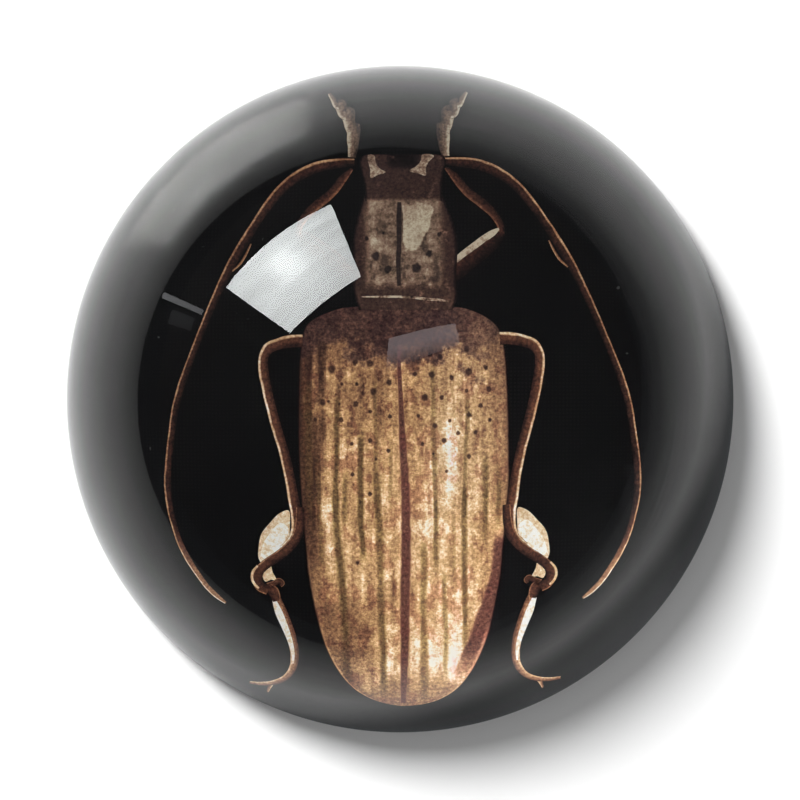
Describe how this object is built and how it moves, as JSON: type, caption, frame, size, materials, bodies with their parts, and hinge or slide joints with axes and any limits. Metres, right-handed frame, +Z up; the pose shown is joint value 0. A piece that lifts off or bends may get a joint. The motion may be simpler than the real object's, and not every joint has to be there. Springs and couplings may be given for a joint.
{
  "type": "domed picture paperweight",
  "caption": "Clear domed paperweight that magnifies a printed longhorn beetle on black beneath it, with a felt pad to rest on.",
  "frame": {"origin": "centre of the felt pad's underside, on the surface that the paperweight stands on", "axes": "+Z up along the dome's axis, +Y towards the top of the picture, where the beetle's head points"},
  "size_m": [0.08, 0.08, 0.044],
  "materials": {
    "clear_dome": "polished clear",
    "picture_disc": "printed, bonded to the glass",
    "felt_pad": "matt black felt"
  },
  "bodies": {
    "root": {"clear_dome": "clear_dome", "picture_disc": "picture_disc", "felt_pad": "felt_pad"}
  },
  "joints": []
}
